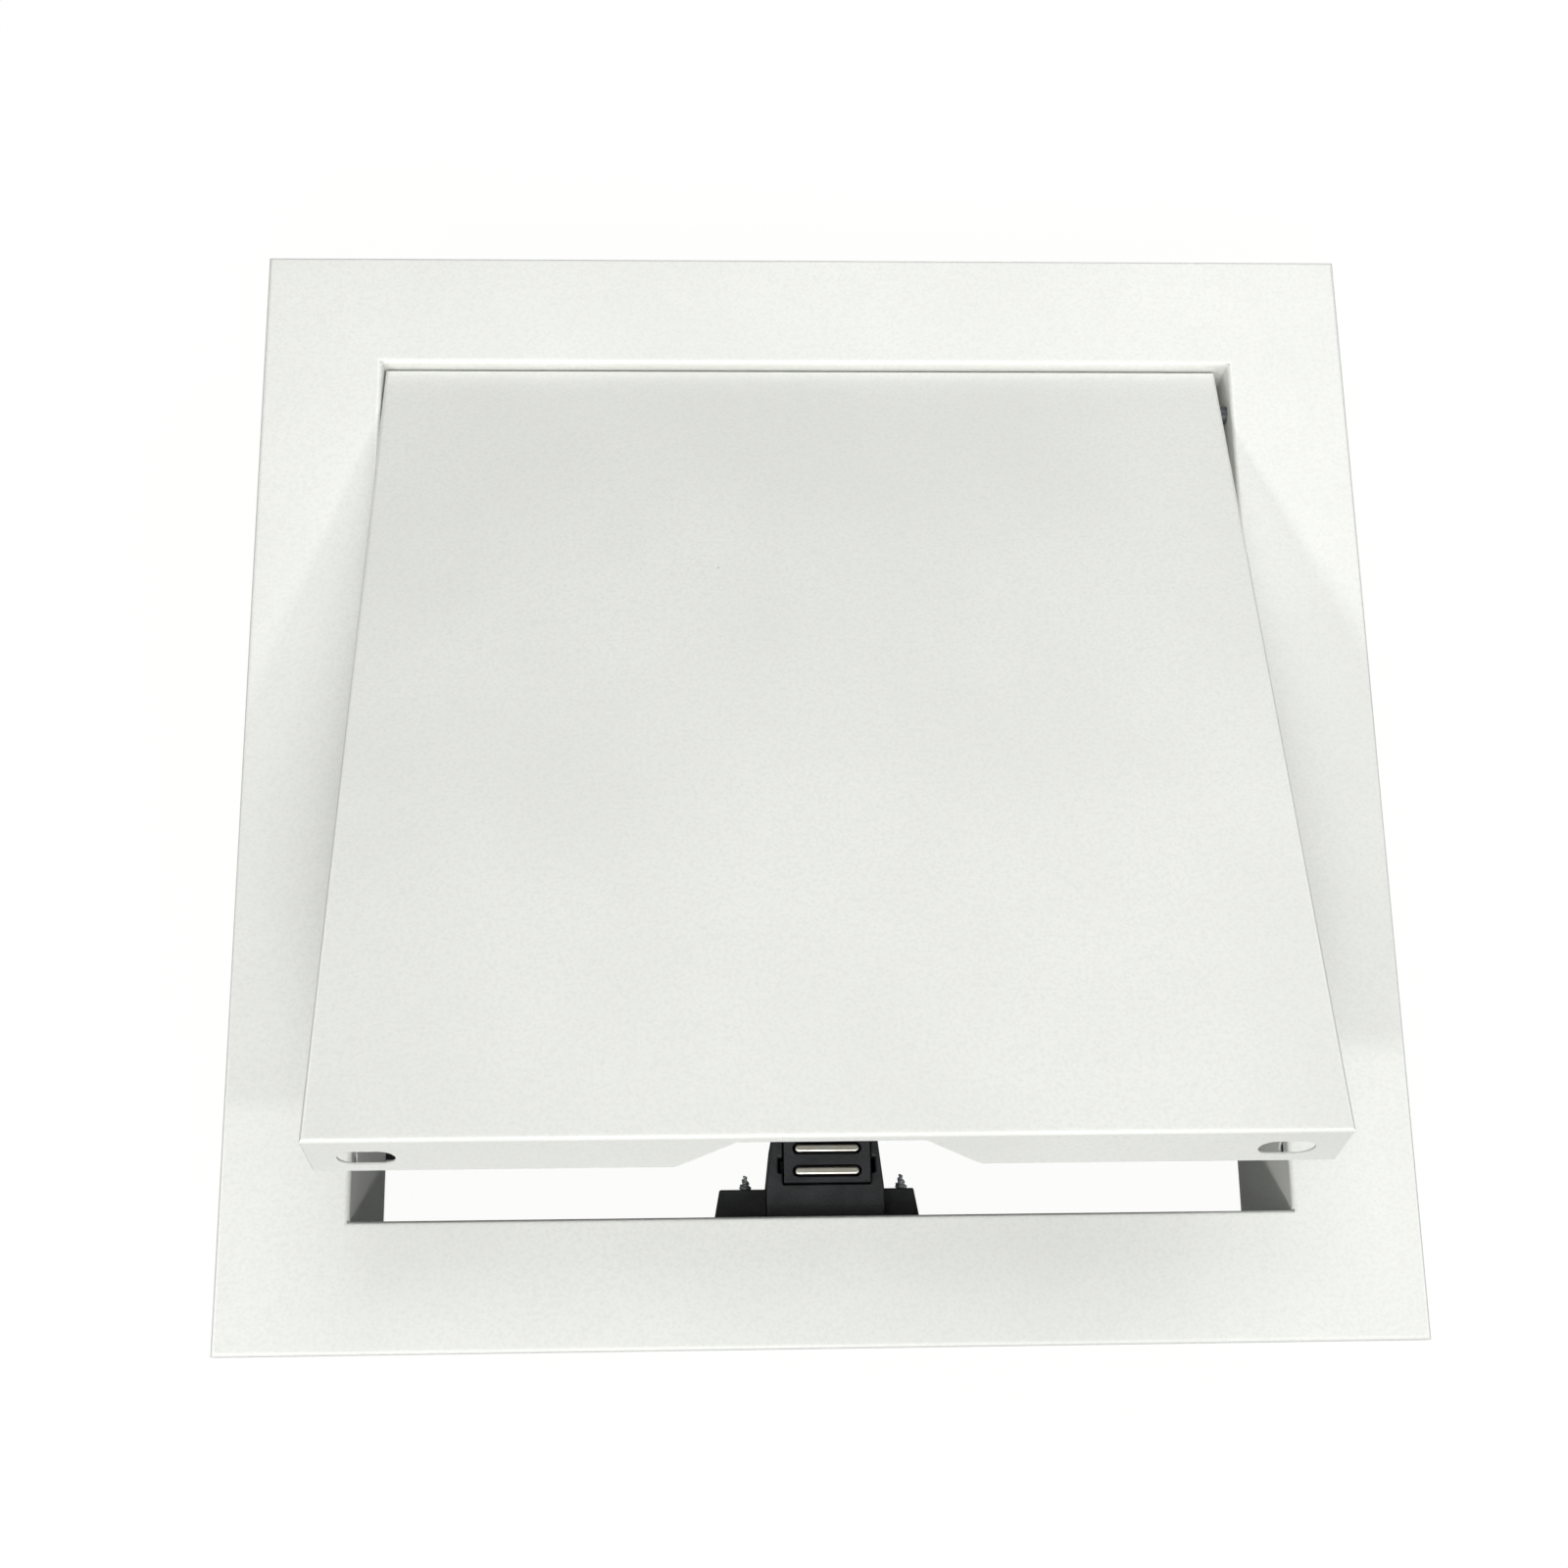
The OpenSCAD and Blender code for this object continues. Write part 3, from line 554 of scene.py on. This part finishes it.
def softenedCopy(node, name, material, width, steps=3, angle=40.0):
    bm = mergedCopy(node)
    bmesh.ops.dissolve_limit(bm, angle_limit=math.radians(0.2), verts=bm.verts, edges=bm.edges)
    piece = newObject(name, meshOf(name, bm))
    smoothFaces(piece.data, angle)
    roundEdges(piece, width, steps, angle=angle)
    evenNormals(piece)
    return bakePiece(piece, material)


softened = {  # node: new name, edge radius in millimetres, material, slot, body
    "latch_housing": ("latch_body", 0.35, latchPlastic, "latch_plastic", "frame"),
    "latch_plunger": ("latch_slider", 0.30, latchPlastic, "latch_plastic", "plunger"),
    "magnet_retainer": ("magnet_plug", 0.20, latchPlastic, "latch_plastic", "plunger"),
    "pole_plate_near": ("pole_bar_near", 0.30, nickelSteel, "pole_steel", "plunger"),
    "pole_plate_far": ("pole_bar_far", 0.30, nickelSteel, "pole_steel", "plunger"),
    "strike_plate": ("strike_pad", 0.20, zincSteel, "zinc_steel", "door"),
    "hinge_pin_left": ("hinge_stud_left", 0.12, blackSteel, "black_steel", "frame"),
    "hinge_pin_right": ("hinge_stud_right", 0.12, blackSteel, "black_steel", "frame"),
    "hinge_washer_left": ("hinge_ring_left", 0.10, naturalNylon, "nylon", "frame"),
    "hinge_washer_right": ("hinge_ring_right", 0.10, naturalNylon, "nylon", "frame"),
    "hinge_clip_left": ("hinge_keeper_left", 0.08, zincSteel, "zinc_steel", "frame"),
    "hinge_clip_right": ("hinge_keeper_right", 0.08, zincSteel, "zinc_steel", "frame"),
}
for node, (name, radius, material, slot, body) in softened.items():
    standFor(softenedCopy(node, name, material, radius * mm), slot, body, node)
print("softened copies:", len(softened))

kept = {"cam_pin": springWire, "latch_magnet": ferrite}  # inside the latch, shape as it is
for node, material in kept.items():
    nodes[node].data.materials.clear()
    nodes[node].data.materials.append(material)


# Coil spring under the plunger: the CAD wire again, as a merged and smoothed copy

coil = {"foot": 4.0 * mm, "stroke": 3.0 * mm, "smooth": 60}
coilPiece = newObject("latch_coil", meshOf("latch_coil", mergedCopy("latch_spring")))
smoothFaces(coilPiece.data, coil["smooth"])
bakePiece(coilPiece, springWire)
standFor(coilPiece, "spring_steel", "frame", "latch_spring")
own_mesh(coilPiece)
print("latch coil:", len(coilPiece.data.polygons), "faces")


# Latch screws: pan heads with a cross recess, threaded to the point

latchScrew = {
    "root": 1.05 * mm, "crest": 1.45 * mm, "pitch": 1.06 * mm, "shank": 7.9 * mm, "point": 2.6 * mm,
    "headRadius": 2.9 * mm, "headHeight": 2.03 * mm, "headRim": 0.5 * mm, "headCorner": 0.15 * mm,
    "slotWidth": 0.72 * mm, "slotLength": 3.1 * mm, "slotDepth": 1.1 * mm,
    "domeSteps": 8, "turnSteps": 32, "smooth": 30,
}


def screwCore():  # revolved about z: head below zero, shank and point above
    size = latchScrew
    radius, rim, corner = size["headRadius"], size["headRim"], size["headCorner"]
    dome = size["headHeight"] - rim
    quarter = [math.pi / 2 * i / size["domeSteps"] for i in range(1, size["domeSteps"] + 1)]
    outline = [(0.0, -size["headHeight"])]
    outline += [(radius * math.sin(a), -rim - dome * math.cos(a)) for a in quarter]
    outline += [(radius, -corner), (radius - corner, 0.0), (size["root"], 0.0)]
    outline += [(size["root"], size["shank"]), (0.0, size["shank"] + size["point"])]
    bm = bmesh.new()
    line = [bm.verts.new((x, 0, z)) for x, z in outline]
    edges = [bm.edges.new(pair) for pair in zip(line, line[1:])]
    bmesh.ops.spin(
        bm, geom=line + edges, cent=(0, 0, 0), axis=(0, 0, 1), angle=2 * math.pi, steps=size["turnSteps"])
    bmesh.ops.remove_doubles(bm, verts=bm.verts, dist=mergeWithin)
    bmesh.ops.recalc_face_normals(bm, faces=bm.faces)
    return meshOf("latch_screw_pair", bm)


def makeScrewTree():
    tree = bpy.data.node_groups.new("threaded_screws", "GeometryNodeTree")
    face = tree.interface
    face.new_socket("Core", in_out="INPUT", socket_type="NodeSocketGeometry")
    for name in ("Root", "Crest", "Pitch", "Shank", "Point", "Slot Width", "Slot Length", "Slot Depth", "Head"):
        face.new_socket(name, in_out="INPUT", socket_type="NodeSocketFloat")
    face.new_socket("First", in_out="INPUT", socket_type="NodeSocketVector")
    face.new_socket("Apart", in_out="INPUT", socket_type="NodeSocketVector")
    face.new_socket("Material", in_out="INPUT", socket_type="NodeSocketMaterial")
    face.new_socket("Screws", in_out="OUTPUT", socket_type="NodeSocketGeometry")
    given = addNode(tree, "NodeGroupInput").outputs

    # Cross recess in the head
    depth = addNode(tree, "ShaderNodeMath", {"operation": "MULTIPLY"}, {0: given["Slot Depth"], 1: 2.0})
    drop = addNode(tree, "ShaderNodeMath", {"operation": "MULTIPLY"}, {0: given["Head"], 1: -1.0})
    headTop = addNode(tree, "ShaderNodeCombineXYZ", inputs={"Z": drop})
    slots = []
    for x, y in (("Slot Length", "Slot Width"), ("Slot Width", "Slot Length")):
        size = addNode(tree, "ShaderNodeCombineXYZ", inputs={"X": given[x], "Y": given[y], "Z": depth})
        bar = addNode(tree, "GeometryNodeMeshCube", inputs={"Size": size})
        slots.append(addNode(tree, "GeometryNodeTransform", inputs={"Geometry": bar, "Translation": headTop}))
    recessed = addNode(tree, "GeometryNodeMeshBoolean", {"operation": "DIFFERENCE", "solver": "EXACT"}, {
        "Mesh 1": given["Core"], "Mesh 2": slots[0]})
    connect(tree, recessed, {"Mesh 2": slots[1]})

    # Thread along the shank, and tapering on the point
    ridge = addNode(tree, "ShaderNodeMath", {"operation": "SUBTRACT"}, {0: given["Crest"], 1: given["Root"]})
    diamond = addNode(tree, "GeometryNodeCurvePrimitiveCircle", inputs={"Resolution": 4, "Radius": ridge})
    threads = []
    runs = ((given["Shank"], given["Root"], 0.0), (given["Point"], 0.0, given["Shank"]))
    for length, endRadius, rise in runs:
        turns = addNode(tree, "ShaderNodeMath", {"operation": "DIVIDE"}, {0: length, 1: given["Pitch"]})
        helix = addNode(tree, "GeometryNodeCurveSpiral", inputs={
            "Resolution": 20, "Rotations": turns, "Start Radius": given["Root"], "End Radius": endRadius,
            "Height": length, "Reverse": False})
        shift = addNode(tree, "ShaderNodeCombineXYZ", inputs={"Z": rise})
        lifted = addNode(tree, "GeometryNodeTransform", inputs={"Geometry": helix, "Translation": shift})
        threads.append(addNode(tree, "GeometryNodeCurveToMesh", inputs={
            "Curve": lifted, "Profile Curve": diamond, "Fill Caps": True}))
    joined = addNode(tree, "GeometryNodeJoinGeometry", inputs={"Geometry": recessed})
    for thread in threads:
        connect(tree, joined, {"Geometry": thread})
    line = addNode(tree, "GeometryNodeMeshLine", {"mode": "OFFSET"}, {
        "Count": 2, "Start Location": given["First"], "Offset": given["Apart"]})
    pair = addNode(tree, "GeometryNodeInstanceOnPoints", inputs={
        "Points": line, "Instance": joined, "Rotation": (-math.pi / 2, 0, 0)})
    real = addNode(tree, "GeometryNodeRealizeInstances", inputs={"Geometry": pair})
    plated = addNode(tree, "GeometryNodeSetMaterial", inputs={"Geometry": real, "Material": given["Material"]})
    addNode(tree, "NodeGroupOutput", inputs={"Screws": plated})
    return tree


screwPiece = newObject("latch_screw_pair", screwCore())
useTree(screwPiece, makeScrewTree(), {
    "Root": latchScrew["root"], "Crest": latchScrew["crest"], "Pitch": latchScrew["pitch"],
    "Shank": latchScrew["shank"], "Point": latchScrew["point"], "Head": latchScrew["headHeight"],
    "Slot Width": latchScrew["slotWidth"], "Slot Length": latchScrew["slotLength"],
    "Slot Depth": latchScrew["slotDepth"],
    "First": (latchMiddle - weldedFrame["screwPitch"] / 2, -wallFace - sheet["thickness"], screwHeight),
    "Apart": (weldedFrame["screwPitch"], 0.0, 0.0), "Material": zincSteel})
bakePiece(screwPiece, zincSteel)
smoothFaces(screwPiece.data, latchScrew["smooth"])
standFor(screwPiece, "zinc_steel", "frame", "latch_screws")
print("latch screws:", len(screwPiece.data.polygons), "faces")


# Stage, camera and light

stage = {  # the painted shadows of flange and door run between two distances from the middle, or across the cut-out
    "half": 1.6, "white": "#F6F6F5", "paintedShadow": "#2C2C2E", "glow": 1.05, "grain": 3.0, "depth": 0.01,
    "below": 0.05 * mm, "flangeShade": (112.0 * mm, 126.0 * mm),
    "cutOut": (32.0 * mm, 58.0 * mm), "doorShade": (-76.0 * mm, -83.2 * mm), "soft": 0.8 * mm,
}


# Backlit white acrylic: an even white glow, with a painted shadow where the panel's flange and door stand over
# it, where the glow fades out to the dark base colour
def makeFloor():
    bm = bmesh.new()
    half = stage["half"]
    signs = ((-1, -1), (1, -1), (1, 1), (-1, 1))
    bm.faces.new([bm.verts.new((x * half, y * half, -stage["below"])) for x, y in signs])
    floor = newObject("floor", meshOf("floor", bm))
    material, tree, shader, place = newMaterial("acrylic_backlit_white", stage["paintedShadow"], 0.9)
    axes = addNode(tree, "ShaderNodeSeparateXYZ", inputs={"Vector": place}).outputs
    across = addNode(tree, "ShaderNodeMath", {"operation": "ABSOLUTE"}, {0: axes["X"]})
    along = addNode(tree, "ShaderNodeMath", {"operation": "ABSOLUTE"}, {0: axes["Y"]})
    away = addNode(tree, "ShaderNodeMath", {"operation": "MAXIMUM"}, {0: across, 1: along})
    # painted shadow under the flange: the glow fades in between these two distances from the middle
    shadeFrom, shadeTo = stage["flangeShade"]
    outside = addNode(tree, "ShaderNodeMapRange", inputs={
        "Value": away, "From Min": shadeFrom, "From Max": shadeTo})
    inside = addNode(tree, "ShaderNodeMath", {"operation": "LESS_THAN"}, {0: away, 1: wallFace})
    # painted shadow under the door: inside the walls the glow stops along a line that reaches further in at the
    # door's cut-out
    (cutFrom, cutTo), (edgeFrom, edgeTo) = stage["cutOut"], stage["doorShade"]
    shadeEdge = addNode(tree, "ShaderNodeMapRange", inputs={
        "Value": across, "From Min": cutFrom, "From Max": cutTo, "To Min": edgeFrom, "To Max": edgeTo})
    clear = addNode(tree, "ShaderNodeMath", {"operation": "SUBTRACT"}, {0: shadeEdge, 1: axes["Y"]})
    before = addNode(tree, "ShaderNodeMapRange", inputs={
        "Value": clear, "From Min": -stage["soft"], "From Max": stage["soft"]})
    opened = addNode(tree, "ShaderNodeMath", {"operation": "MULTIPLY"}, {0: inside, 1: before})
    lit = addNode(tree, "ShaderNodeMath", {"operation": "MAXIMUM"}, {0: outside, 1: opened})
    glow = addNode(tree, "ShaderNodeMath", {"operation": "MULTIPLY"}, {0: lit, 1: stage["glow"]})
    grain = addNode(tree, "ShaderNodeTexNoise", inputs={"Vector": place, "Scale": perSize(stage["grain"])})
    bump = addNode(tree, "ShaderNodeBump", inputs={
        "Height": grain, "Strength": 1.0, "Distance": stage["depth"] * mm})
    connect(tree, shader, {"Emission Strength": glow, "Emission Color": stage["white"], "Normal": bump})
    floor.data.materials.append(material)
    floor.visible_diffuse = False  # it throws no light up into the frame
    floor.visible_glossy = False


makeFloor()

camera = {  # the photograph's view, in a square frame
    "place": (-21.2 * mm, -133.3 * mm, 432.9 * mm), "aim": (-7.8 * mm, -41.6 * mm, 40.0 * mm),
    "roll": 7.664, "lens": 42.41, "sensor": 36.0, "shiftUp": 0.1039, "nearest": 10 * mm,
}
eye = bpy.data.objects.new("camera", bpy.data.cameras.new("camera"))
bpy.context.scene.collection.objects.link(eye)
look = Vector(camera["aim"]) - Vector(camera["place"])
eye.location = camera["place"]
eye.rotation_mode = "QUATERNION"
eye.rotation_quaternion = look.to_track_quat("-Z", "Y") @ Quaternion((0, 0, 1), math.radians(camera["roll"]))
eye.data.lens = camera["lens"]
eye.data.sensor_width = camera["sensor"]
eye.data.shift_y = camera["shiftUp"]
eye.data.clip_start = camera["nearest"]
bpy.context.scene.camera = eye

lamps = {  # name: distance and size in metres, elevation, azimuth anticlockwise from the right, and watts
    "near": (1.5, 0.7, 42, 270, 13.5),
    "left_key": (1.5, 0.12, 35, 216, 6.0),
    "right_key": (1.5, 0.12, 42, 330, 3.5),
    "near_left_high": (0.7, 0.35, 64, 225, 0.6),
    "far_right": (0.7, 0.35, 42, 45, 1.1),
    "far_high": (0.7, 0.35, 64, 90, 0.95),
}
room = {"colour": "#F4F6F8", "strength": 0.11}
panelMiddle = Vector((0, 0, faceHeight))
for name, (distance, size, elevation, azimuth, watts) in lamps.items():
    lamp = bpy.data.lights.new(name, "AREA")
    lamp.shape = "SQUARE"
    lamp.size = size
    lamp.energy = watts
    holder = bpy.data.objects.new(name, lamp)
    level, turn = math.radians(elevation), math.radians(azimuth)
    direction = Vector((math.cos(level) * math.cos(turn), math.cos(level) * math.sin(turn), math.sin(level)))
    holder.location = panelMiddle + distance * direction
    holder.visible_camera = False
    holder.rotation_mode = "QUATERNION"
    holder.rotation_quaternion = (-direction).to_track_quat("-Z", "Y")
    bpy.context.scene.collection.objects.link(holder)

world = bpy.data.worlds.new("soft_room")
world.use_nodes = True
background = next(n for n in world.node_tree.nodes if n.type == "BACKGROUND")
connect(world.node_tree, background, {"Color": room["colour"], "Strength": room["strength"]})
bpy.context.scene.world = world
bpy.context.scene.view_settings.view_transform = "Standard"
print("stage set:", len(lamps), "lamps")
